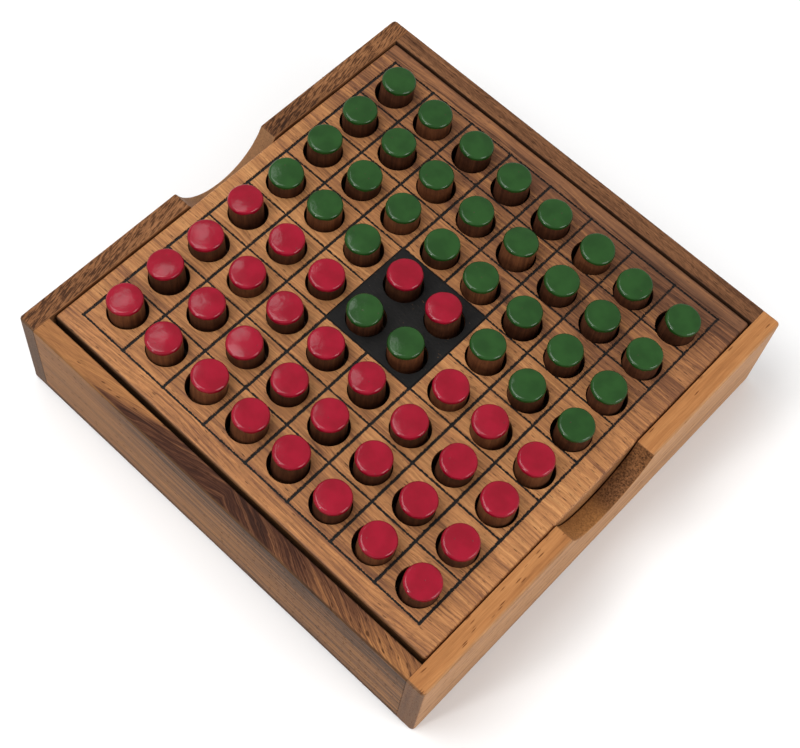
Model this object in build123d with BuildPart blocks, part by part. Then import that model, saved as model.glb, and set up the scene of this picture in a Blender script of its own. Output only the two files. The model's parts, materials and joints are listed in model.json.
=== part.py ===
from build123d import *
from math import asin, degrees
import os

# Reversi board game: a wooden tray, a loose board with 64 drilled holes, and 64 pegs.
# Frame: +Z up, origin at the centre of the underside. The scooped end walls stand at -X and +X,
# the side walls at -Y (front) and +Y (back). The grain of the board runs along X. Millimetres.

# Tray
TRAY = 168.0            # outer length and width
TRAY_H = 38.0           # outer height
WALL = 6.6              # wall thickness
PANEL_T = 3.0           # bottom panel
LEDGE_W = 5.0           # strip that carries the board, glued inside each side wall
SCOOP_HALF = 19.2       # half the width of a finger scoop at the top of the wall
SCOOP_DEPTH = 13.0
SHOULDER_R = 0.8        # where a scoop meets the top of the wall
CORNER_R = 1.4          # upright outer corners
BOTTOM_R = 1.3          # lower outer edges, sanded round
TOP_R = 0.5             # upper outer edges
INNER_R = 0.25          # upper inner edges
SEAM = 0.15             # tiny bevel that shows the glued joints

# Board
BOARD_GAP_X = 0.45      # play between the board and each wall, with the board centred
BOARD_GAP_Y = 1.05
BOARD_DROP = 0.4        # its top lies this far below the tops of the walls
BOARD_SHIFT_Y = 0.65    # it lies pushed towards the back of the tray
BOARD_CORNER_R = 1.0
BOARD_TOP_R = 0.9
BOARD_UNDER_R = 0.5

# Drawn grid of 8 by 8 squares, cut as shallow grooves. The four squares in the middle are painted
# black instead.
SQUARES = 8
GRID_MARGIN = 6.95      # from the outermost lines to the edge of the board along X, on average
GRID_X = -1.3           # centre of the grid
GRID_Y = 0.8
CROSS_LINE_W = 1.0      # lines across the grain, cut wide and rough
ALONG_LINE_W = 0.6      # lines along the grain
LINE_DEPTH = 0.3

# Holes. The drilled pattern wanders a little against the drawn grid, as on the real board.
PEG_PLAY = 1.0          # between a peg and the wall of its hole
HOLE_SPARE = 0.2        # between a peg and the bottom of its hole
HOLE_FLOOR = 4.4        # wood left under a hole
STRETCH_X = 0.2         # the holes lie this much further apart than the lines along X
STRETCH_Y = -0.35
HOLES_X = GRID_X + 0.4  # centre of the pattern
HOLES_Y = GRID_Y - 0.9
ROW_DRIFT = -0.36       # each row lies this much further along Y than the row before

# Pegs
DOWEL_D = 11.2
CAP_D = 11.5            # over the enamel
PEG_L = 17.0
PEG_PROUD = 7.8         # height of a peg above the board
CAP_L = 2.0             # how far the enamel reaches along the peg
RIM_R = 0.9             # rounded rim of each end
CROWN = 0.25            # the middle of each end stands this much above its rim

INNER = TRAY - 2 * WALL
BOARD_X = INNER - 2 * BOARD_GAP_X
BOARD_Y = INNER - 2 * BOARD_GAP_Y
GRID_PITCH = (BOARD_X - 2 * GRID_MARGIN) / SQUARES
HOLE_PITCH_X = GRID_PITCH + STRETCH_X
HOLE_PITCH_Y = GRID_PITCH + STRETCH_Y
HOLE_D = DOWEL_D + 2 * PEG_PLAY
HOLE_DEPTH = PEG_L - PEG_PROUD + HOLE_SPARE
BOARD_T = HOLE_DEPTH + HOLE_FLOOR
BOARD_TOP = TRAY_H - BOARD_DROP
BOARD_UNDER = BOARD_TOP - BOARD_T
PEG_FOOT = BOARD_TOP + PEG_PROUD - PEG_L
COLUMNS = "abcdefgh"

os.makedirs("parts", exist_ok=True)


def save(part, name):
    part.label = name
    export_step(part, f"parts/{name}.step")


def at(edges, axis, position):
    """The edges whose middle lies at this position along an axis."""
    return edges.filter_by_position(axis, position - 0.01, position + 0.01)


# End walls: full width, with a finger scoop
for side, name in ((-1, "end_wall_left"), (1, "end_wall_right")):
    outer_x = side * TRAY / 2
    inner_x = side * INNER / 2
    with BuildPart() as end_wall:
        with BuildSketch(Plane.YZ.offset(min(outer_x, inner_x))):
            with BuildLine():
                Polyline(
                    (SCOOP_HALF, TRAY_H), (TRAY / 2, TRAY_H), (TRAY / 2, 0),
                    (-TRAY / 2, 0), (-TRAY / 2, TRAY_H), (-SCOOP_HALF, TRAY_H),
                )
                ThreePointArc(
                    (-SCOOP_HALF, TRAY_H), (0, TRAY_H - SCOOP_DEPTH), (SCOOP_HALF, TRAY_H)
                )
            make_face()
        extrude(amount=WALL)
        along_x = end_wall.edges().filter_by(Axis.X)
        fillet(
            at(along_x, Axis.Y, SCOOP_HALF) + at(along_x, Axis.Y, -SCOOP_HALF),
            radius=SHOULDER_R,
        )
        fillet(at(end_wall.edges().filter_by(Axis.Z), Axis.X, outer_x), radius=CORNER_R)
        lower = at(end_wall.edges(), Axis.Z, 0)
        fillet(lower - at(lower, Axis.X, inner_x), radius=BOTTOM_R)
        upper = end_wall.edges().filter_by_position(Axis.Z, TRAY_H - SCOOP_DEPTH - 1, TRAY_H + 1)
        fillet(at(upper, Axis.X, outer_x), radius=TOP_R)
        upper = end_wall.edges().filter_by_position(Axis.Z, TRAY_H - SCOOP_DEPTH - 1, TRAY_H + 1)
        fillet(at(upper, Axis.X, inner_x), radius=INNER_R)
    save(end_wall.part, name)

# Side walls: they stand on the bottom panel between the end walls
for side, name in ((-1, "side_wall_front"), (1, "side_wall_back")):
    outer_y = side * TRAY / 2
    inner_y = side * INNER / 2
    with BuildPart() as side_wall:
        with BuildSketch(Plane.XY.offset(PANEL_T)):
            with Locations((0, (outer_y + inner_y) / 2)):
                Rectangle(INNER, WALL)
        extrude(amount=TRAY_H - PANEL_T)
        upper = at(side_wall.edges().filter_by(Axis.X), Axis.Z, TRAY_H)
        fillet(at(upper, Axis.Y, outer_y), radius=TOP_R)
        upper = at(side_wall.edges().filter_by(Axis.X), Axis.Z, TRAY_H)
        fillet(at(upper, Axis.Y, inner_y), radius=INNER_R)
        face = side_wall.faces().filter_by(Axis.Y).sort_by(Axis.Y)[0 if side < 0 else -1]
        chamfer(face.edges().filter_by(Axis.Z), length=SEAM)
    save(side_wall.part, name)

# Bottom panel: between the end walls, its edge in sight under the side walls
with BuildPart() as bottom_panel:
    with BuildSketch():
        Rectangle(INNER, TRAY)
    extrude(amount=PANEL_T)
    under = at(bottom_panel.edges().filter_by(Axis.X), Axis.Z, 0)
    fillet(under, radius=BOTTOM_R)
    seam = at(bottom_panel.edges().filter_by(Axis.X), Axis.Z, PANEL_T)
    chamfer(seam, length=SEAM)
save(bottom_panel.part, "bottom_panel")

# Ledges that carry the board
for side, name in ((-1, "ledge_front"), (1, "ledge_back")):
    with BuildPart() as ledge:
        with BuildSketch(Plane.XY.offset(PANEL_T)):
            with Locations((0, side * (INNER - LEDGE_W) / 2)):
                Rectangle(INNER, LEDGE_W)
        extrude(amount=BOARD_UNDER - PANEL_T)
        upper = at(ledge.edges().filter_by(Axis.X), Axis.Z, BOARD_UNDER)
        chamfer(at(upper, Axis.Y, side * (INNER / 2 - LEDGE_W)), length=0.5)
    save(ledge.part, name)

# Board: slab, drilled holes, and grooves of the drawn grid
line_places = [(i - SQUARES / 2) * GRID_PITCH for i in range(SQUARES + 1)]
grid_span = SQUARES * GRID_PITCH
hole_places = {}
for row in range(SQUARES):
    for column in range(SQUARES):
        step_x = row - (SQUARES - 1) / 2
        step_y = column - (SQUARES - 1) / 2
        hole_places[row, column] = (
            HOLES_X + step_x * HOLE_PITCH_X,
            HOLES_Y + step_y * HOLE_PITCH_Y + step_x * ROW_DRIFT,
        )

with BuildPart() as board:
    with BuildSketch(Plane.XY.offset(BOARD_UNDER)) as slab:
        with Locations((0, BOARD_SHIFT_Y)):
            RectangleRounded(BOARD_X, BOARD_Y, BOARD_CORNER_R)
    extrude(amount=BOARD_T)
    fillet(board.faces().sort_by(Axis.Z)[-1].edges(), radius=BOARD_TOP_R)
    fillet(board.faces().sort_by(Axis.Z)[0].edges(), radius=BOARD_UNDER_R)
    with BuildSketch(Plane.XY.offset(BOARD_TOP)):
        with Locations([(GRID_X + place, GRID_Y) for place in line_places]):
            Rectangle(CROSS_LINE_W, grid_span + ALONG_LINE_W)
        with Locations([(GRID_X, GRID_Y + place) for place in line_places]):
            Rectangle(grid_span + CROSS_LINE_W, ALONG_LINE_W)
        with Locations((GRID_X, GRID_Y)):
            Rectangle(2 * GRID_PITCH, 2 * GRID_PITCH, mode=Mode.SUBTRACT)
    extrude(amount=-LINE_DEPTH, mode=Mode.SUBTRACT)
    with BuildSketch(Plane.XY.offset(BOARD_TOP)):
        with Locations(list(hole_places.values())):
            Circle(HOLE_D / 2)
    extrude(amount=-HOLE_DEPTH, mode=Mode.SUBTRACT)
save(board.part, "board")


# Pegs: a dowel dipped in enamel at both ends, red and green
def peg_outline():
    """Half the section of a peg, radius along the first axis and height along the second."""
    cap_r = CAP_D / 2
    dowel_r = DOWEL_D / 2
    step = cap_r - dowel_r
    flat_r = cap_r - RIM_R
    rim_z = CROWN + RIM_R
    crown_r = (flat_r**2 + CROWN**2) / (2 * CROWN)
    crown_angle = degrees(asin(flat_r / crown_r))
    CenterArc((0, crown_r), crown_r, -90, crown_angle)
    CenterArc((flat_r, rim_z), RIM_R, -90, 90)
    Polyline(
        (cap_r, rim_z), (cap_r, CAP_L - step), (dowel_r, CAP_L), (dowel_r, PEG_L - CAP_L),
        (cap_r, PEG_L - CAP_L + step), (cap_r, PEG_L - rim_z),
    )
    CenterArc((flat_r, PEG_L - rim_z), RIM_R, 0, 90)
    CenterArc((0, PEG_L - crown_r), crown_r, 90 - crown_angle, crown_angle)
    Line((0, PEG_L), (0, 0))


def peg_axis_plane(x, y):
    return Plane(origin=(x, y, PEG_FOOT), x_dir=(1, 0, 0), z_dir=(0, -1, 0))


corner_pegs = {}
for (row, column), (x, y) in hole_places.items():
    square = f"{COLUMNS[column]}{row + 1}"
    edge_rows = (0, 1, SQUARES - 2, SQUARES - 1)
    if row in edge_rows and column in edge_rows:
        corner = ("a" if column < 2 else "h") + ("1" if row < 2 else "8")
        corner_pegs.setdefault(corner, []).append((x, y))
        continue
    with BuildPart() as peg:
        with BuildSketch(peg_axis_plane(x, y)):
            with BuildLine():
                peg_outline()
            make_face()
        revolve(axis=Axis((x, y, 0), (0, 0, 1)))
    save(peg.part, f"peg_{square}")

# The four pegs in each corner of the grid share a node, as separate solids
for corner, places in corner_pegs.items():
    with BuildPart() as pegs:
        for x, y in places:
            with BuildSketch(peg_axis_plane(x, y)):
                with BuildLine():
                    peg_outline()
                make_face()
            revolve(axis=Axis((x, y, 0), (0, 0, 1)))
    save(pegs.part, f"pegs_corner_{corner}")
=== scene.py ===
import bpy
import json
import math
import random
from mathutils import Matrix, Vector, noise


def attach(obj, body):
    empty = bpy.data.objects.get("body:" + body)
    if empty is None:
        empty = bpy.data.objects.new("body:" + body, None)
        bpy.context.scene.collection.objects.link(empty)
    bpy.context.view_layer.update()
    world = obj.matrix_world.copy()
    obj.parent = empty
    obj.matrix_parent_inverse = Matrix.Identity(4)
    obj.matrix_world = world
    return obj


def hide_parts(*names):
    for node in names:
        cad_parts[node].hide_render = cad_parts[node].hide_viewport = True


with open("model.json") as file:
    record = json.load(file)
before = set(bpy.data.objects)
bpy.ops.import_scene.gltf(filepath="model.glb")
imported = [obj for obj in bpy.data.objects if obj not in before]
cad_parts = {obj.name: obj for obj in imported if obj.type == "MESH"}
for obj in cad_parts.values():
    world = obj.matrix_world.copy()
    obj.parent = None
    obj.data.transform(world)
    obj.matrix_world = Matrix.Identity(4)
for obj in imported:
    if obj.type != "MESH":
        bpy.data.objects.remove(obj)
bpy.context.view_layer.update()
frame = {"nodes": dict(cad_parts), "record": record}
MM = 0.001

# Sizes from the CAD source, in millimetres. +X is the right end, +Y the back, +Z up, and the
# origin is the middle of the underside.
TRAY, TRAY_H, WALL = 168.0, 38.0, 6.6
OUTER = TRAY / 2                    # outer faces of the walls
INNER = OUTER - WALL                # inner faces of the walls
SCOOP_R, SCOOP_Z = 20.68, 45.68     # arc of the finger scoops: radius, and height of its axis
BOARD_TOP, BOARD_FRONT, BOARD_BACK = 37.6, -75.7, 77.0
SQUARES = 8
GRID_PITCH, GRID_X, GRID_Y = 17.5, -1.3, 0.8
HOLE_PITCH_X, HOLE_PITCH_Y, ROW_DRIFT = 17.7, 17.15, -0.36
HOLES_X, HOLES_Y = GRID_X + 0.4, GRID_Y - 0.9
HOLE_BOTTOM = 28.2

# Pegs as they are dressed here, in millimetres
PEG_L = 16.75
DOWEL_R = 5.68
CAP_R = 5.76            # over the enamel
CAP_L = 1.6             # how far the enamel reaches along the peg
RIM_R = 1.02            # rounded rim of each end
CROWN = 0.22            # the middle of each end stands this much above its rim
ROUND = 56              # points around a peg
FAR, LITTLE = 1.25, 0.65    # how far the top of a leaning peg is from the middle of its hole
IN_HOLE = 0.55          # share of a peg's length that stands in its hole
RIM_PLAY = 0.74         # the most that a peg leaves the middle at the rim of its hole
FOOT_SHARE = 0.6        # the most that the foot takes of the way of the top
LENGTH_SPREAD = 0.2     # pegs are this much longer or shorter
UNEVEN, RIPPLE = 0.014, 0.006   # slow and fine changes of a peg's radius, as shares of it
SAG, DRIP = 0.45, 0.25          # slow and fine waves of the edge of the enamel
DOME = 0.07             # waves of the enamel on each end
FIRST_SEED = 700        # each peg has its own seed, counted from this one


class Shader:
    """A material whose node graph is written as calls. Positions are in millimetres."""

    def __init__(self, name):
        self.material = bpy.data.materials.new(name)
        self.material.use_nodes = True
        self.tree = self.material.node_tree
        self.tree.nodes.clear()
        self.bsdf = self.node("BsdfPrincipled")
        self.tree.links.new(self.bsdf.outputs[0], self.node("OutputMaterial").inputs[0])
        self.place = self.vector("SCALE", self.node("TexCoord").outputs["Object"], scale=1000.0)
        self.x, self.y, self.z = self.split(self.place)

    def node(self, kind):
        return self.tree.nodes.new("ShaderNode" + kind)

    def put(self, socket, value):
        """Link a socket to another node's output, or set its value. A colour gets its alpha."""
        if isinstance(value, bpy.types.NodeSocket):
            self.tree.links.new(value, socket)
        elif isinstance(value, (int, float)):
            socket.default_value = value
        else:
            missing = len(socket.default_value) - len(value)
            socket.default_value = tuple(value) + (1.0,) * missing

    def math(self, operation, a, b=None):
        node = self.node("Math")
        node.operation = operation
        self.put(node.inputs[0], a)
        if b is not None:
            self.put(node.inputs[1], b)
        return node.outputs[0]

    def add(self, *terms):
        total = terms[0]
        for term in terms[1:]:
            total = self.math("ADD", total, term)
        return total

    def times(self, a, b):
        return self.math("MULTIPLY", a, b)

    def swing(self, value, amount):
        """A value from 0 to 1, turned into plus or minus half the amount."""
        return self.times(self.math("SUBTRACT", value, 0.5), amount)

    def vector(self, operation, a, b=None, scale=None):
        node = self.node("VectorMath")
        node.operation = operation
        self.put(node.inputs[0], a)
        if b is not None:
            self.put(node.inputs[1], b)
        if scale is not None:
            self.put(node.inputs["Scale"], scale)
        return node.outputs["Vector"]

    def split(self, vector):
        node = self.node("SeparateXYZ")
        self.put(node.inputs[0], vector)
        return node.outputs

    def join(self, x, y, z):
        node = self.node("CombineXYZ")
        for socket, value in zip(node.inputs, (x, y, z)):
            self.put(socket, value)
        return node.outputs[0]

    def texture(self, kind, place, stretch, shift):
        """Texture node on a place that is stretched and moved aside."""
        node = self.node(kind)
        moved = self.vector("ADD", self.vector("MULTIPLY", place, stretch), shift)
        self.put(node.inputs["Vector"], moved)
        self.put(node.inputs["Scale"], 1.0)
        return node

    def noise(self, place, stretch, detail=2.0, rough=0.5, seed=0.0):
        """Noise from 0 to 1. stretch is its frequency per millimetre along each axis."""
        node = self.texture("TexNoise", place, stretch, (seed, seed * 1.7, -seed))
        self.put(node.inputs["Detail"], detail)
        self.put(node.inputs["Roughness"], rough)
        return node.outputs[0]

    def cells(self, place, stretch, seed=0.0):
        """Distance to the nearest scattered point and that point's own random value."""
        node = self.texture("TexVoronoi", place, stretch, (seed, seed * 1.3, seed))
        pick = self.split(node.outputs["Color"])[0]
        return node.outputs["Distance"], pick

    def step(self, value, low, high, out_low=0.0, out_high=1.0):
        """Smooth step between two values of the input."""
        node = self.node("MapRange")
        node.interpolation_type = "SMOOTHSTEP"
        for socket, v in zip(node.inputs, (value, low, high, out_low, out_high)):
            self.put(socket, v)
        return node.outputs[0]

    def mix(self, factor, a, b, blend="MIX"):
        node = self.node("Mix")
        node.data_type, node.blend_type = "RGBA", blend
        self.put(node.inputs[0], factor)
        self.put(node.inputs[6], a)
        self.put(node.inputs[7], b)
        return node.outputs[2]

    def stain(self, colour, mask, strength, tone):
        """Colour with another tone laid over it where the mask is set."""
        return self.mix(self.times(mask, strength), colour, tone)

    def shade(self, colour, factor):
        """Colour made lighter or darker by a factor around 1."""
        return self.mix(1.0, colour, self.join(factor, factor, factor), "MULTIPLY")

    def ramp(self, factor, stops):
        node = self.node("ValToRGB")
        elements = node.color_ramp.elements
        while len(elements) < len(stops):
            elements.new(0.5)
        for element, (position, colour) in zip(elements, stops):
            element.position, element.color = position, tuple(colour) + (1.0,)
        self.put(node.inputs[0], factor)
        return node.outputs[0]

    def bump(self, height, distance, strength):
        node = self.node("Bump")
        self.put(node.inputs["Height"], height)
        self.put(node.inputs["Distance"], distance)
        self.put(node.inputs["Strength"], strength)
        return node.outputs[0]

    def finish(self, **sockets):
        for name, value in sockets.items():
            self.put(self.bsdf.inputs[name.replace("_", " ")], value)
        return self.material


def rgb(red, green, blue):
    """Linear colour from the usual 0 to 255 values."""
    return tuple(
        v / 12.92 if v <= 0.04045 else ((v + 0.055) / 1.055) ** 2.4
        for v in (red / 255, green / 255, blue / 255)
    )


PAINTED_GAP_SHADOW = rgb(26, 16, 11)      # painted shadow in the narrow gap around the board


# What the woods share
def grain_space(sh, axis, wave=1.2, seed=0.0):
    """Position with the grain along the first axis, bent a little as real grain is."""
    order = {"x": (sh.x, sh.y, sh.z), "y": (sh.y, sh.x, sh.z), "z": (sh.z, sh.x, sh.y)}
    along, across, depth = order[axis]
    straight = sh.join(along, across, depth)
    bend = sh.noise(straight, (0.012, 0.02, 0.02), 2.0, 0.5, seed + 3.1)
    fine_bend = sh.noise(straight, (0.05, 0.09, 0.09), 2.0, 0.5, seed + 7.7)
    shift = sh.add(sh.swing(bend, wave * 6.0), sh.swing(fine_bend, wave))
    return sh.join(along, sh.add(across, shift), sh.add(depth, sh.times(shift, 0.6)))


def dashes(sh, q, along, across, share, size=0.26, seed=0.0):
    """Mask of short dark pores along the grain; share is the part of the cells that has one."""
    distance, pick = sh.cells(q, (along, across, across), seed)
    shown = sh.math("LESS_THAN", pick, share)
    return sh.times(sh.step(distance, size, size * 0.45), shown)


def fibred(sh, q, colour, seed, dark, light):
    """Fine fibres along the grain, from a dark factor to a light one."""
    fibre = sh.noise(q, (0.16, 2.8, 2.8), 4.0, 0.65, seed)
    return sh.shade(colour, sh.step(fibre, 0.28, 0.72, dark, light))


def wood_finish(sh, q, colour, pores, rough=0.5, relief=0.05):
    fibre = sh.noise(q, (0.35, 6.0, 6.0), 3.0, 0.6, 9.0)
    height = sh.math("SUBTRACT", sh.times(fibre, 0.5), pores)
    normal = sh.bump(height, relief * MM, 0.9)
    roughness = sh.add(sh.times(fibre, 0.16), sh.times(pores, 0.2), rough - 0.08)
    return sh.finish(
        Base_Color=colour, Roughness=roughness, Normal=normal, Specular_IOR_Level=0.06
    )


def end_grain(sh, seed, dark, light):
    """Fine speckle of cut fibres, for the ends of the walls."""
    speck = sh.noise(sh.place, (2.2, 2.2, 1.6), 4.0, 0.7, seed)
    bands = sh.noise(sh.place, (0.7, 0.7, 0.03), 3.0, 0.6, seed + 1.0)
    return sh.ramp(
        sh.add(sh.times(speck, 0.5), sh.times(bands, 0.5)), [(0.32, dark), (0.68, light)]
    )


def scoop_mask(sh):
    """The cut face of a finger scoop."""
    from_axis = sh.math("SQRT", sh.add(
        sh.math("POWER", sh.y, 2.0),
        sh.math("POWER", sh.math("SUBTRACT", sh.z, SCOOP_Z), 2.0),
    ))
    return sh.times(
        sh.step(from_axis, SCOOP_R + 0.25, SCOOP_R + 0.1),
        sh.step(sh.z, TRAY_H - 0.05, TRAY_H - 0.4),
    )


# Board
def grid_mask(sh):
    """Black lines of the grid, ragged across the grain and finer along it, and the middle squares."""
    ragged = sh.noise(sh.place, (0.9, 2.2, 0.5), 4.0, 0.75, 6.0)
    wander = sh.noise(sh.place, (1.3, 0.45, 0.5), 3.0, 0.65, 7.0)

    # Place in squares from the middle of the grid, and distance to the nearest line in millimetres
    grid_x = sh.math("DIVIDE", sh.math("SUBTRACT", sh.x, GRID_X), GRID_PITCH)
    grid_y = sh.math("DIVIDE", sh.math("SUBTRACT", sh.y, GRID_Y), GRID_PITCH)
    off_x = sh.times(sh.math("PINGPONG", sh.math("ADD", grid_x, SQUARES), 0.5), GRID_PITCH)
    off_y = sh.times(sh.math("PINGPONG", sh.math("ADD", grid_y, SQUARES), 0.5), GRID_PITCH)
    from_x = sh.math("ABSOLUTE", grid_x)
    from_y = sh.math("ABSOLUTE", grid_y)
    inside = sh.times(
        sh.step(from_x, SQUARES / 2 + 0.034, SQUARES / 2 + 0.030),
        sh.step(from_y, SQUARES / 2 + 0.032, SQUARES / 2 + 0.026),
    )
    thinner = sh.step(sh.add(sh.x, sh.y), 10.0, 120.0, 0.0, 0.16)
    edge_x = sh.add(off_x, sh.swing(ragged, -1.5), thinner)
    edge_y = sh.add(off_y, sh.swing(wander, -0.75))
    line = sh.math("MAXIMUM", sh.step(edge_x, 0.52, 0.46), sh.step(edge_y, 0.36, 0.30))
    from_middle = sh.add(sh.math("MAXIMUM", from_x, from_y), sh.swing(ragged, 0.05))
    black = sh.math("MAXIMUM", sh.times(line, inside), sh.step(from_middle, 1.036, 1.026))
    return sh.times(black, sh.step(sh.z, BOARD_TOP - 0.7, BOARD_TOP - 0.6))


def board_wood():
    """Tan, darker towards the back and the right, with the painted grid, painted shade in the holes
    and painted shadow in the gaps at its edges.
    """
    sh = Shader("board_wood")
    q = grain_space(sh, "x", 1.5)
    region = sh.step(sh.add(sh.y, sh.times(sh.x, 0.12)), -15.0, 80.0, 0.0, 0.40)
    front = sh.step(sh.y, -18.0, -70.0, 0.0, 0.17)
    streaks = sh.noise(q, (0.008, 0.16, 0.16), 4.0, 0.55, 1.0)
    lines = sh.noise(q, (0.030, 1.3, 1.3), 4.0, 0.65, 2.0)
    tone = sh.add(region, front, sh.swing(streaks, 0.9), sh.swing(lines, 1.25), 0.23)
    colour = sh.ramp(tone, [
        (0.0, rgb(194, 139, 88)), (0.3, rgb(172, 117, 72)),
        (0.6, rgb(119, 77, 52)), (1.0, rgb(62, 39, 28)),
    ])
    fibre = sh.noise(q, (0.16, 2.6, 2.6), 4.0, 0.7, 4.0)
    colour = sh.shade(colour, sh.step(fibre, 0.28, 0.72, 0.68, 1.15))
    more = sh.step(sh.add(sh.y, sh.times(sh.x, 0.5)), -30.0, 90.0, 0.10, 0.40)
    pores = dashes(sh, q, 0.30, 1.9, more, 0.34, 5.0)
    fine = dashes(sh, q, 0.55, 3.0, 0.34, 0.34, 8.0)
    colour = sh.stain(colour, pores, 0.75, rgb(58, 31, 18))
    colour = sh.stain(colour, fine, 0.45, rgb(76, 43, 25))

    # Greyer margin at the back, with a pale stripe beside a dark one
    edge_wave = sh.add(sh.y, sh.swing(streaks, 4.0))
    pale = sh.times(sh.step(edge_wave, 72.6, 73.4), sh.step(edge_wave, 76.4, 75.4))
    dark = sh.times(sh.step(edge_wave, 70.6, 71.6), sh.step(edge_wave, 73.2, 72.4))
    margin = sh.times(sh.step(sh.y, 68.0, 74.0), sh.step(sh.x, -30.0, 30.0, 0.15, 0.45))
    colour = sh.mix(margin, colour, rgb(96, 68, 50))
    pale = sh.times(pale, sh.step(sh.x, 0.0, 45.0, 0.22, 0.05))
    colour = sh.mix(pale, colour, rgb(158, 106, 68))
    dark = sh.times(dark, sh.step(lines, 0.42, 0.6))
    colour = sh.stain(colour, dark, 0.75, rgb(58, 34, 22))

    # Paint of the grid, worn off in places
    worn = sh.noise(q, (0.5, 3.0, 3.0), 4.0, 0.7, 12.0)
    black = sh.times(grid_mask(sh), sh.step(worn, 0.74, 0.69))
    soot = sh.ramp(worn, [(0.3, rgb(11, 11, 11)), (0.75, rgb(30, 28, 27))])
    colour = sh.mix(black, colour, soot)

    # Painted shadow of the narrow gaps along the back and front edges
    colour = sh.mix(sh.step(sh.y, BOARD_BACK - 0.6, BOARD_BACK - 0.1, 0.0, 0.85), colour, PAINTED_GAP_SHADOW)
    front_gap_shadow = sh.times(
        sh.step(sh.y, BOARD_FRONT + 0.8, BOARD_FRONT + 0.2), sh.step(sh.x, -80.0, 80.0, 0.85, 0.45)
    )
    colour = sh.mix(front_gap_shadow, colour, PAINTED_GAP_SHADOW)

    # Below its top the board is painted dark as shade in the holes, where the drilling also scorched
    # the wood, and less so on its sides
    depth = sh.step(sh.z, BOARD_TOP - 0.3, BOARD_TOP - 2.2)
    from_middle = sh.math("MAXIMUM", sh.math("ABSOLUTE", sh.x), sh.math("ABSOLUTE", sh.y))
    depth = sh.times(depth, sh.step(from_middle, 74.0, 72.0, 0.35, 1.0))
    colour = sh.stain(colour, depth, 0.9, rgb(20, 11, 7))

    height = sh.add(sh.times(fibre, 0.5), sh.times(pores, -1.0), sh.times(fine, -0.5))
    normal = sh.bump(height, 0.06 * MM, 0.9)
    rough = sh.add(sh.times(fibre, 0.14), 0.46, sh.times(black, 0.06))
    return sh.finish(Base_Color=colour, Roughness=rough, Normal=normal, Specular_IOR_Level=0.18)


# Walls
def front_wall_wood():
    """Golden at the left end, dark in the middle, then figure that sweeps across to the right end."""
    sh = Shader("side_wall_front_wood")
    q = grain_space(sh, "x", 1.0, 20.0)
    across = sh.math("ADD", sh.y, OUTER)
    right_part = sh.math("MAXIMUM", sh.math("SUBTRACT", sh.x, 2.0), 0.0)
    bend = sh.add(sh.times(sh.x, -0.22), sh.times(right_part, 0.64))
    low = sh.noise(q, (0.03, 0.25, 0.25), 3.0, 0.5, 21.0)
    sway = sh.swing(low, 3.0)
    swept = sh.join(sh.x, sh.add(across, bend, sway), sh.z)

    # The dark zone has slanting ends
    left_edge = sh.add(
        sh.x, sh.times(across, -5.5), sh.times(sh.math("SUBTRACT", TRAY_H, sh.z), 1.5),
        sh.times(sway, 6.0),
    )
    right_edge = sh.add(sh.x, sh.times(across, -1.5), sh.times(sway, 7.0))
    dark = sh.times(sh.step(left_edge, -62.0, -50.0), sh.step(right_edge, 74.0, 8.0))
    figure = sh.noise(swept, (0.035, 0.75, 0.6), 4.0, 0.6, 23.0)
    threads = sh.noise(swept, (0.06, 2.2, 1.5), 4.0, 0.65, 24.0)
    lively = sh.step(sh.x, -62.0, -35.0, 0.4, 1.0)
    tone = sh.add(
        sh.times(dark, 0.54), sh.times(sh.swing(figure, 1.0), lively),
        sh.times(sh.swing(threads, 1.2), lively), 0.18, sh.step(sh.x, -10.0, 40.0, 0.0, 0.10),
    )
    colour = sh.ramp(tone, [
        (0.0, rgb(168, 116, 70)), (0.25, rgb(138, 92, 57)), (0.5, rgb(100, 65, 44)),
        (0.75, rgb(66, 39, 28)), (1.0, rgb(42, 26, 20)),
    ])

    # Outer face: long streaks, darker above, and painted shade in the lowest few millimetres along
    # the rounded foot
    face_lines = sh.noise(q, (0.010, 0.42, 0.42), 4.0, 0.6, 25.0)
    face_threads = sh.noise(q, (0.03, 1.6, 1.6), 4.0, 0.65, 28.0)
    upper = sh.times(sh.step(sh.z, 19.0, 35.0), sh.step(sh.x, -66.0, -22.0, 0.0, 0.30))
    # painted shade along the rounded foot of the outer face
    lower = sh.step(sh.z, 5.5, 2.5, 0.0, 0.22)
    calm = sh.step(sh.x, -60.0, 10.0, 0.4, 1.0)
    face_streaks = sh.add(sh.swing(face_lines, 2.0), sh.swing(face_threads, 1.2))
    face_tone = sh.add(
        sh.times(face_streaks, calm), upper, lower, sh.step(sh.x, -30.0, 60.0, 0.30, 0.42)
    )
    face = sh.ramp(face_tone, [
        (0.0, rgb(152, 106, 62)), (0.35, rgb(122, 83, 50)), (0.65, rgb(84, 58, 38)),
        (1.0, rgb(48, 34, 26)),
    ])
    colour = sh.mix(sh.step(sh.y, 0.8 - OUTER, 0.3 - OUTER), colour, face)
    colour = fibred(sh, q, colour, 26.0, 0.82, 1.12)
    pores = dashes(sh, swept, 0.30, 1.2, sh.step(sh.x, -15.0, 45.0, 0.12, 0.5), 0.34, 27.0)
    colour = sh.stain(colour, pores, 0.7, rgb(52, 29, 18))
    # Painted shadow of the gap on the inner face beside the board
    colour = sh.mix(sh.step(sh.y, -INNER - 0.35, -INNER - 0.1, 0.0, 0.75), colour, PAINTED_GAP_SHADOW)
    return wood_finish(sh, q, colour, pores)


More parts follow.
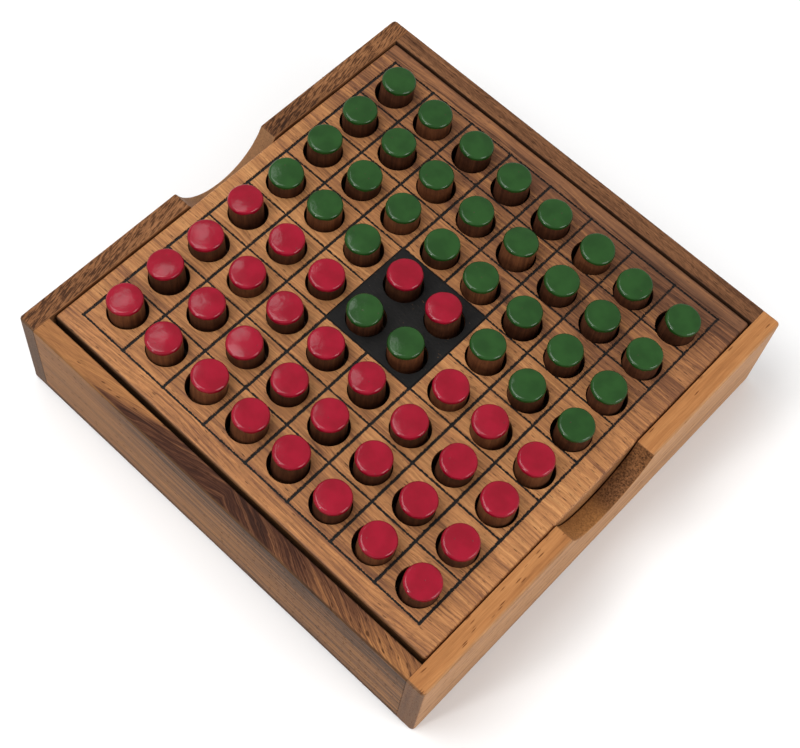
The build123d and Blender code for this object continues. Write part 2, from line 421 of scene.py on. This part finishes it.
def left_wall_wood():
    """Mid-brown with close dark flecks, darker beside the finger scoop."""
    sh = Shader("end_wall_left_wood")
    q = grain_space(sh, "y", 0.8, 30.0)
    skew = sh.join(sh.y, sh.add(sh.x, sh.times(sh.y, 0.25)), sh.z)
    flecks = sh.noise(skew, (0.30, 2.0, 1.6), 3.0, 0.6, 31.0)
    low = sh.noise(q, (0.02, 0.25, 0.2), 3.0, 0.5, 32.0)
    from_dark = sh.math("ABSOLUTE", sh.math("SUBTRACT", sh.y, 16.0))
    tone = sh.add(
        sh.step(flecks, 0.40, 0.62, 0.0, 0.55), sh.swing(low, 0.6), 0.18,
        sh.step(from_dark, 34.0, 8.0, 0.0, 0.30), sh.step(sh.y, -20.0, -70.0, 0.0, 0.12),
    )
    colour = sh.ramp(tone, [
        (0.0, rgb(156, 108, 72)), (0.35, rgb(124, 83, 53)), (0.7, rgb(80, 51, 33)),
        (1.0, rgb(50, 32, 22)),
    ])

    # Long grain on the two upright faces
    streaks = sh.noise(q, (0.010, 0.34, 0.34), 4.0, 0.6, 34.0)
    lines = sh.noise(q, (0.035, 1.5, 1.5), 4.0, 0.65, 35.0)
    face = sh.ramp(
        sh.add(streaks, sh.swing(lines, 0.7)),
        [(0.25, rgb(146, 100, 64)), (0.5, rgb(112, 74, 47)), (0.8, rgb(66, 42, 29))],
    )
    upright = sh.math(
        "MAXIMUM", sh.step(sh.x, 0.6 - OUTER, 0.2 - OUTER),
        sh.step(sh.x, -INNER - 0.5, -INNER - 0.1),
    )
    colour = sh.mix(upright, colour, face)
    colour = sh.stain(colour, scoop_mask(sh), 0.65, rgb(150, 110, 76))
    front_end = end_grain(sh, 33.0, rgb(70, 50, 36), rgb(104, 76, 54))
    colour = sh.mix(sh.step(sh.y, 0.9 - OUTER, 0.4 - OUTER), colour, front_end)
    colour = fibred(sh, q, colour, 36.0, 0.84, 1.1)
    pores = dashes(sh, q, 0.5, 2.0, 0.25, 0.32, 37.0)
    colour = sh.stain(colour, pores, 0.6, rgb(44, 27, 18))
    return wood_finish(sh, q, colour, pores)


def right_wall_wood():
    """Bright orange-tan with short dark dashes; the finger scoop shows rough end grain, with painted
    shade on one half and painted light on the other.
    """
    sh = Shader("end_wall_right_wood")
    q = grain_space(sh, "y", 0.7, 40.0)
    streaks = sh.noise(q, (0.014, 0.35, 0.35), 4.0, 0.55, 41.0)
    lines = sh.noise(q, (0.04, 1.6, 1.6), 4.0, 0.65, 42.0)
    colour = sh.ramp(sh.add(sh.swing(streaks, 0.9), sh.swing(lines, 0.6), 0.26), [
        (0.0, rgb(181, 127, 79)), (0.3, rgb(163, 109, 65)), (0.6, rgb(128, 81, 48)),
        (1.0, rgb(78, 46, 27)),
    ])
    face = sh.ramp(
        sh.add(streaks, sh.swing(lines, 0.5)),
        [(0.3, rgb(182, 136, 94)), (0.55, rgb(160, 116, 78)), (0.8, rgb(124, 87, 58))],
    )
    colour = sh.mix(sh.step(sh.x, OUTER - 0.9, OUTER - 0.3), colour, face)
    front_end = end_grain(sh, 43.0, rgb(84, 58, 40), rgb(124, 90, 64))
    colour = sh.mix(sh.step(sh.y, 0.9 - OUTER, 0.4 - OUTER), colour, front_end)
    colour = fibred(sh, q, colour, 46.0, 0.86, 1.1)
    pores = dashes(sh, q, 0.20, 1.35, sh.step(sh.y, 40.0, -60.0, 0.08, 0.42), 0.34, 47.0)
    colour = sh.stain(colour, pores, 0.75, rgb(88, 47, 22))

    # Scoop: rough end grain, with painted shade on the half towards the back and painted light on the
    # half towards the front
    rough_grain = sh.noise(sh.place, (1.6, 1.6, 1.6), 5.0, 0.75, 48.0)
    side = sh.step(sh.add(sh.y, sh.swing(rough_grain, 9.0)), -3.0, 4.0)
    shaded_half = sh.ramp(rough_grain, [(0.36, rgb(50, 29, 17)), (0.64, rgb(138, 92, 56))])
    lit_half = sh.ramp(rough_grain, [(0.36, rgb(118, 77, 44)), (0.64, rgb(166, 114, 66))])
    colour = sh.mix(scoop_mask(sh), colour, sh.mix(side, lit_half, shaded_half))
    return wood_finish(sh, q, colour, pores)


def back_wall_wood():
    """Brown with close flecks and long dark pores."""
    sh = Shader("side_wall_back_wood")
    q = grain_space(sh, "x", 1.1, 50.0)
    streaks = sh.noise(q, (0.010, 0.4, 0.4), 4.0, 0.6, 51.0)
    lines = sh.noise(q, (0.04, 1.8, 1.8), 4.0, 0.65, 52.0)
    tone = sh.add(
        sh.swing(streaks, 0.9), sh.swing(lines, 0.9), 0.42, sh.step(sh.x, -40.0, 80.0, 0.0, 0.03)
    )
    colour = sh.ramp(tone, [
        (0.0, rgb(146, 102, 68)), (0.4, rgb(110, 74, 50)), (0.7, rgb(74, 48, 33)),
        (1.0, rgb(46, 29, 20)),
    ])
    colour = fibred(sh, q, colour, 56.0, 0.80, 1.12)
    skew = sh.join(sh.x, sh.add(sh.y, sh.times(sh.x, 0.2)), sh.z)
    flecks = sh.noise(skew, (0.45, 2.1, 1.6), 3.0, 0.6, 58.0)
    colour = sh.shade(colour, sh.step(flecks, 0.42, 0.6, 1.14, 0.82))
    pores = dashes(sh, q, 0.22, 1.8, 0.4, 0.32, 57.0)
    colour = sh.stain(colour, pores, 0.75, rgb(38, 22, 14))
    # Painted shadow of the gap on the inner face beside the board
    colour = sh.mix(sh.step(sh.y, INNER + 0.35, INNER + 0.1, 0.0, 0.8), colour, PAINTED_GAP_SHADOW)
    return wood_finish(sh, q, colour, pores)


# Bottom panel, ledges and pegs
def plain_wood(name, seed, tones):
    """Wood of the bottom panel and the ledges, from its light tone to its dark one."""
    sh = Shader(name)
    q = grain_space(sh, "x", 1.4, seed)
    streaks = sh.noise(q, (0.01, 0.12, 0.25), 4.0, 0.6, seed + 1.0)
    lines = sh.noise(q, (0.04, 1.2, 1.2), 4.0, 0.6, seed + 2.0)
    tone = sh.add(sh.swing(streaks, 1.0), sh.swing(lines, 0.5), 0.45)
    colour = sh.ramp(tone, list(zip((0.0, 0.5, 1.0), tones)))
    fibre = sh.noise(q, (0.2, 4.0, 4.0), 4.0, 0.6, seed + 3.0)
    colour = sh.shade(colour, sh.step(fibre, 0.2, 0.8, 0.84, 1.12))
    pores = dashes(sh, q, 0.35, 2.2, 0.22, 0.28, seed + 4.0)
    colour = sh.stain(colour, pores, 0.55, rgb(62, 38, 26))
    return wood_finish(sh, q, colour, pores, 0.58)


def dowel_wood(name, seed, tones):
    """Bare wood of a peg, from its light tone to its dark one."""
    sh = Shader(name)
    q = grain_space(sh, "z", 0.3, seed)
    streaks = sh.noise(q, (0.03, 0.9, 0.9), 4.0, 0.6, seed + 1.0)
    blotch = sh.noise(sh.place, (0.12, 0.12, 0.2), 2.0, 0.5, seed + 2.0)
    tone = sh.add(sh.swing(streaks, 1.1), sh.swing(blotch, 0.6), 0.5)
    colour = sh.ramp(tone, list(zip((0.0, 0.5, 1.0), tones)))
    fibre = sh.noise(q, (0.3, 5.0, 5.0), 3.0, 0.6, seed + 3.0)
    colour = sh.shade(colour, sh.step(fibre, 0.2, 0.8, 0.8, 1.15))
    pores = dashes(sh, q, 0.5, 3.2, 0.3, 0.3, seed + 4.0)
    colour = sh.stain(colour, pores, 0.6, rgb(50, 30, 20))
    return wood_finish(sh, q, colour, pores, 0.5, 0.04)


def enamel(name, deep, bright, seed):
    """Brushed gloss paint, with painted shade darkening it down the side of a peg, and a few pits and
    rubbed spots.
    """
    sh = Shader(name)
    cloud = sh.noise(sh.place, (0.16, 0.16, 0.16), 2.0, 0.5, seed)
    colour = sh.mix(sh.step(cloud, 0.3, 0.7), deep, bright)
    pit_distance, pit_pick = sh.cells(sh.place, (0.5, 0.5, 0.5), seed + 1.0)
    pits = sh.times(sh.step(pit_distance, 0.13, 0.07), sh.math("LESS_THAN", pit_pick, 0.22))
    scuffs = sh.step(sh.noise(sh.place, (0.2, 0.2, 0.2), 5.0, 0.75, seed + 2.0), 0.73, 0.78)
    facing_up = sh.math("ABSOLUTE", sh.split(sh.node("TexCoord").outputs["Normal"])[2])
    # Painted shade: the enamel's colour darkens where it faces sideways
    colour = sh.shade(colour, sh.step(facing_up, 0.1, 0.85, 0.66, 1.0))
    colour = sh.stain(colour, pits, 0.5, rgb(70, 40, 36))
    colour = sh.stain(colour, scuffs, 0.35, rgb(120, 96, 86))
    skin = sh.noise(sh.place, (0.7, 0.7, 0.7), 2.0, 0.5, seed + 3.0)
    height = sh.add(skin, sh.times(pits, -0.6), sh.times(scuffs, -0.2))
    normal = sh.bump(height, 0.06 * MM, 0.75)
    rough = sh.add(0.13, sh.times(scuffs, 0.3), sh.times(cloud, 0.05))
    return sh.finish(Base_Color=colour, Roughness=rough, Normal=normal, Specular_IOR_Level=0.3)


def dress(node, material):
    for material_slot in frame["nodes"][node].material_slots:
        material_slot.material = material


dress("board", board_wood())
dress("side_wall_front", front_wall_wood())
dress("end_wall_left", left_wall_wood())
dress("end_wall_right", right_wall_wood())
dress("side_wall_back", back_wall_wood())
dress("bottom_panel", plain_wood(
    "bottom_panel_wood", 60.0, (rgb(112, 80, 52), rgb(80, 55, 37), rgb(50, 34, 24))
))
ledge_wood = plain_wood(
    "ledge_wood", 70.0, (rgb(190, 144, 100), rgb(160, 116, 80), rgb(110, 76, 54))
)
dress("ledge_front", ledge_wood)
dress("ledge_back", ledge_wood)

RED = enamel("enamel_red", rgb(131, 3, 29), rgb(146, 6, 36), 80.0)
GREEN = enamel("enamel_green", rgb(26, 62, 20), rgb(33, 72, 26), 90.0)
DOWELS = [
    dowel_wood(f"dowel_wood_{i}", 100.0 + 10.0 * i, tones)
    for i, tones in enumerate((
        (rgb(103, 63, 40), rgb(73, 43, 29), rgb(43, 25, 18)),
        (rgb(128, 81, 50), rgb(95, 57, 36), rgb(60, 35, 24)),
        (rgb(92, 55, 35), rgb(64, 37, 24), rgb(36, 21, 15)),
    ))
]
WOOD_FACE, RED_FACE, GREEN_FACE = 0, 1, 2      # material slots of a peg

# The game as it stands, one row of the board after another: the colour that is up on each peg
COLOURS = (
    "rrrrgggg", "rrrrgggg", "rrrrgggg", "rrrgrggg", "rrrgrggg", "rrrrgggg", "rrrrgggg", "rrrrgggg"
)

# Which way each peg leans in the photograph: north is +Y and east is +X, capitals lean far, small
# letters a little, and a dot stands upright
LEANS = (
    "w  W  S  W  SE n  .  NE",
    "sw .  SE SE .  E  .  e",
    "NE S  S  SE sw e  w  NE",
    "NE e  sw S  .  SE s  n",
    "N  nw W  W  W  sw N  e",
    "e  e  S  SE NW nw e  E",
    "E  E  E  SW SW sw .  S",
    "E  SE .  w  e  sw s  E",
)


def lean_of(mark):
    """Way of the top of a peg, in millimetres, from its mark in LEANS."""
    way = mark.lower()
    east = ("e" in way) - ("w" in way)
    north = ("n" in way) - ("s" in way)
    length = math.hypot(east, north)
    if length == 0:
        return Vector((0.0, 0.0, 0.0))
    reach = FAR if mark.isupper() else LITTLE
    return Vector((reach * east / length, reach * north / length, 0.0))


def peg_rings():
    """Rings of a peg from its foot up, and how many steps between rings each coat of enamel takes.

    A ring is its radius, its height, how closely it follows the sagging edge of the enamel, and
    its end: 1 for the foot, -1 for the head, 0 between them."""
    flat = CAP_R - RIM_R
    half = [(r, CROWN * (r / flat) ** 2, 0.0) for r in (0.0, 1.1, 2.2, 3.1, 3.8)]
    for i in range(8):
        turn = math.pi / 2 * i / 7
        half.append((
            flat + RIM_R * math.sin(turn), CROWN + RIM_R * (1 - math.cos(turn)), 0.6 * (i / 7) ** 2
        ))
    half += [
        (CAP_R + 0.03, CAP_L - 0.28, 0.85), (CAP_R + 0.01, CAP_L - 0.1, 1.0),
        (CAP_R - 0.07, CAP_L - 0.02, 1.0),
    ]
    painted = len(half)
    half += [
        (DOWEL_R, CAP_L + 0.03, 1.0), (DOWEL_R, CAP_L + 0.5, 0.6), (DOWEL_R, CAP_L + 1.4, 0.1)
    ]
    foot = [(r, z, follow, 1) for r, z, follow in half]
    middle = [(DOWEL_R, z, 0.0, 0) for z in (5.4, 7.2, 9.0, 10.6)]
    head = [(r, PEG_L - z, follow, -1) for r, z, follow in reversed(half)]
    return foot + middle + head, painted


def ring_points(radius, height, follow, end, offset):
    """Points around a ring, uneven as turned wood and dipped enamel are."""
    points = []
    for i in range(ROUND):
        angle = math.tau * i / ROUND
        c, s = math.cos(angle), math.sin(angle)
        around = Vector((c * 0.8, s * 0.8, height * 0.06)) + offset
        fine = Vector((c * 2.6, s * 2.6, end * 3.0)) + offset
        grow = 1.0 + UNEVEN * noise.noise(around)
        if follow:
            grow += RIPPLE * noise.noise(fine * 1.4)
        sag = SAG * noise.noise(fine) + DRIP * noise.noise(fine * 2.6)
        dome = 0.0
        if end and radius < CAP_R - 0.3:
            spot = Vector((c * radius * 0.28, s * radius * 0.28, end * 5.0)) + offset
            dome = DOME * noise.noise(spot) * min(1.0, radius)
        lift = end * (follow * sag + dome)
        points.append(Vector((radius * grow * c, radius * grow * s, height + lift)))
    return points


def peg_skin(rows, painted, red_up):
    """Faces between rows of point numbers, and the material slot of each face."""
    head_face, foot_face = (RED_FACE, GREEN_FACE) if red_up else (GREEN_FACE, RED_FACE)
    steps = len(rows) - 1
    faces, slots = [], []
    for step, (below, above) in enumerate(zip(rows, rows[1:])):
        slot = foot_face if step < painted else head_face if step >= steps - painted else WOOD_FACE
        for i in range(ROUND):
            j = (i + 1) % ROUND
            if len(below) == 1:
                faces.append((below[0], above[j], above[i]))
            elif len(above) == 1:
                faces.append((below[i], below[j], above[0]))
            else:
                faces.append((below[i], below[j], above[j], above[i]))
            slots.append(slot)
    return faces, slots


def stood(points, x, y, lean, turn):
    """Points of an upright peg, set in its hole: the foot moves as far as the rim of the hole
    allows, the rest of the lean is tilt, and the peg stands on its foot."""
    reach = max(lean.length, 0.01)
    share = (RIM_PLAY - IN_HOLE * reach) / ((1 - IN_HOLE) * reach)
    shift = lean * max(0.0, min(FOOT_SHARE, share))
    tip = lean - shift
    tilt = Matrix.Identity(3)
    if tip.length > 1e-6:
        sideways = Vector((-tip.y, tip.x, 0.0)).normalized()
        tilt = Matrix.Rotation(math.atan2(tip.length, PEG_L), 3, sideways)
    spin = Matrix.Rotation(turn, 3, "Z")
    points = [tilt @ (spin @ point) for point in points]
    rise = HOLE_BOTTOM + 0.05 - min(point.z for point in points)
    return [(point + shift + Vector((x, y, rise))) * MM for point in points]


def make_peg(name, x, y, lean, red_up, seed):
    rng = random.Random(seed)
    rings, painted = peg_rings()
    offset = Vector((rng.uniform(-50, 50), rng.uniform(-50, 50), rng.uniform(-50, 50)))
    turn = rng.uniform(0, math.tau)
    longer = rng.uniform(-LENGTH_SPREAD, LENGTH_SPREAD)
    points, rows = [], []
    for radius, height, follow, end in rings:
        if end < 0:
            height += longer
        if radius == 0.0:
            ring = [Vector((0.0, 0.0, height))]
        else:
            ring = ring_points(radius, height, follow, end, offset)
        rows.append(range(len(points), len(points) + len(ring)))
        points += ring
    faces, slots = peg_skin(rows, painted, red_up)
    mesh = bpy.data.meshes.new(name)
    mesh.from_pydata([tuple(point) for point in stood(points, x, y, lean, turn)], [], faces)
    for material in (rng.choice(DOWELS), RED, GREEN):
        mesh.materials.append(material)
    mesh.polygons.foreach_set("material_index", slots)
    mesh.polygons.foreach_set("use_smooth", [True] * len(faces))
    mesh.update()
    peg = bpy.data.objects.new(name, mesh)
    bpy.context.scene.collection.objects.link(peg)
    return peg


def node_of(row, column):
    """CAD node of the peg in a square. The four pegs in each corner of the grid share one."""
    near_edge = (0, 1, SQUARES - 2, SQUARES - 1)
    if row in near_edge and column in near_edge:
        return "pegs_corner_" + ("a" if column < 2 else "h") + ("1" if row < 2 else "8")
    return f"peg_{'abcdefgh'[column]}{row + 1}"


bodies = frame["record"]["behaviour"]["bodies"]
for row in range(SQUARES):
    for column, mark in enumerate(LEANS[row].split()):
        step_x = row - (SQUARES - 1) / 2
        step_y = column - (SQUARES - 1) / 2
        x = HOLES_X + step_x * HOLE_PITCH_X
        y = HOLES_Y + step_y * HOLE_PITCH_Y + step_x * ROW_DRIFT
        name = f"turned_peg_{'abcdefgh'[column]}{row + 1}"
        red_up = COLOURS[row][column] == "r"
        seed = FIRST_SEED + row * SQUARES + column
        peg = make_peg(name, x, y, lean_of(mark), red_up, seed)
        node = node_of(row, column)
        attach(peg, next(body for body, members in bodies.items() if node in members))
        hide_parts(node)

# Floor
FLOOR = 1.5             # half its width, in metres
floor_mesh = bpy.data.meshes.new("floor")
floor_corners = [(-FLOOR, -FLOOR, 0), (FLOOR, -FLOOR, 0), (FLOOR, FLOOR, 0), (-FLOOR, FLOOR, 0)]
floor_mesh.from_pydata(floor_corners, [], [(0, 1, 2, 3)])
floor = bpy.data.objects.new("floor", floor_mesh)
bpy.context.scene.collection.objects.link(floor)
floor_mesh.materials.append(
    Shader("floor_paper").finish(Base_Color=(0.9, 0.9, 0.9), Roughness=0.9)
)

# Lights, in metres and watts
LIT_POINT = Vector((0, 0, 0.03))
STUDIO_GLOW = 0.58      # even light from all around


def area_light(name, place, size, power):
    light = bpy.data.lights.new(name, "AREA")
    light.shape, light.size, light.energy = "DISK", size, power
    lamp = bpy.data.objects.new(name, light)
    bpy.context.scene.collection.objects.link(lamp)
    lamp.location = place
    lamp.rotation_euler = (LIT_POINT - Vector(place)).to_track_quat("-Z", "Y").to_euler()


area_light("top_light", (-0.34, -0.30, 0.95), 0.7, 6.0)
area_light("front_light", (-0.2, -0.85, 0.58), 0.17, 2.3)
area_light("right_light", (0.95, 0.1, 0.5), 0.6, 4.5)
area_light("glow_light", (-0.47, 0.17, 0.84), 0.2, 0.36)

world = bpy.data.worlds.new("studio")
bpy.context.scene.world = world
world.use_nodes = True
world.node_tree.nodes["Background"].inputs["Color"].default_value = (1, 1, 1, 1)
world.node_tree.nodes["Background"].inputs["Strength"].default_value = STUDIO_GLOW
bpy.context.scene.view_settings.view_transform = "Standard"

# Camera at the photograph's angle, in metres, radians and a lens in millimetres
CAMERA_PLACE = (0.133744, -0.195469, 0.456304)
CAMERA_TURN = (0.4742666, -0.0787986, 0.7501516)
CAMERA_LENS = 69.637

camera_data = bpy.data.cameras.new("camera")
camera_data.sensor_width = 36.0
camera_data.lens = CAMERA_LENS
camera_data.clip_start, camera_data.clip_end = 0.01, 10.0
camera = bpy.data.objects.new("camera", camera_data)
bpy.context.scene.collection.objects.link(camera)
camera.location = CAMERA_PLACE
camera.rotation_euler = CAMERA_TURN
bpy.context.scene.camera = camera
